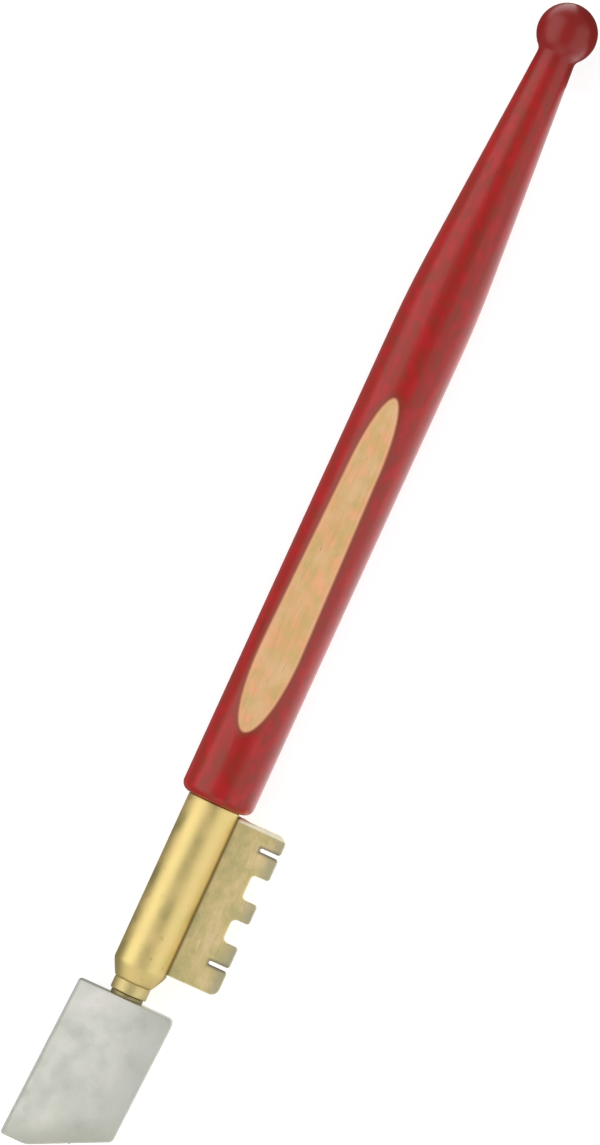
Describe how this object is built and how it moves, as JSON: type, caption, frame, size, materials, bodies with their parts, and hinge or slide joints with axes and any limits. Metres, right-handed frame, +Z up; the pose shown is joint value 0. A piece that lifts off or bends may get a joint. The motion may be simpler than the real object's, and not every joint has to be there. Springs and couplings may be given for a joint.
{
  "type": "glass cutter",
  "caption": "Pen-shaped diamond glass cutter with a lacquered wooden handle, a brass barrel with a breaker comb, and a flat metal head block that swivels.",
  "frame": {"origin": "centre of the bounding box at its bottom face, with the tool lying on its side and its thumb flat up", "axes": "+X along the handle towards its ball end, -Y towards the teeth of the breaker comb, +Z up, which the thumb flat faces"},
  "size_m": [0.1802, 0.02, 0.011],
  "materials": {
    "lacquered_wood": "gloss",
    "turned_brass": "polished",
    "stamped_brass": "satin",
    "bright_steel": "satin",
    "blackened_steel": "satin",
    "satin_nickel": "satin",
    "copper": "satin",
    "diamond": "polished"
  },
  "bodies": {
    "handle_body": {"handle": "lacquered_wood", "tang_stud": "bright_steel", "barrel": "turned_brass", "breaker_comb": "stamped_brass", "stem_pin": "bright_steel"},
    "head": {"swivel_stem": "bright_steel", "swivel_washer": "blackened_steel", "head_block": "satin_nickel", "diamond_sett": "copper", "diamond": "diamond"}
  },
  "joints": [
    {"name": "head_swivel", "type": "hinge", "parent": "handle_body", "child": "head", "pos_m": [-0.06507, 0.00163, 0.0055], "axis": [1, 0, 0], "continuous": true}
  ]
}
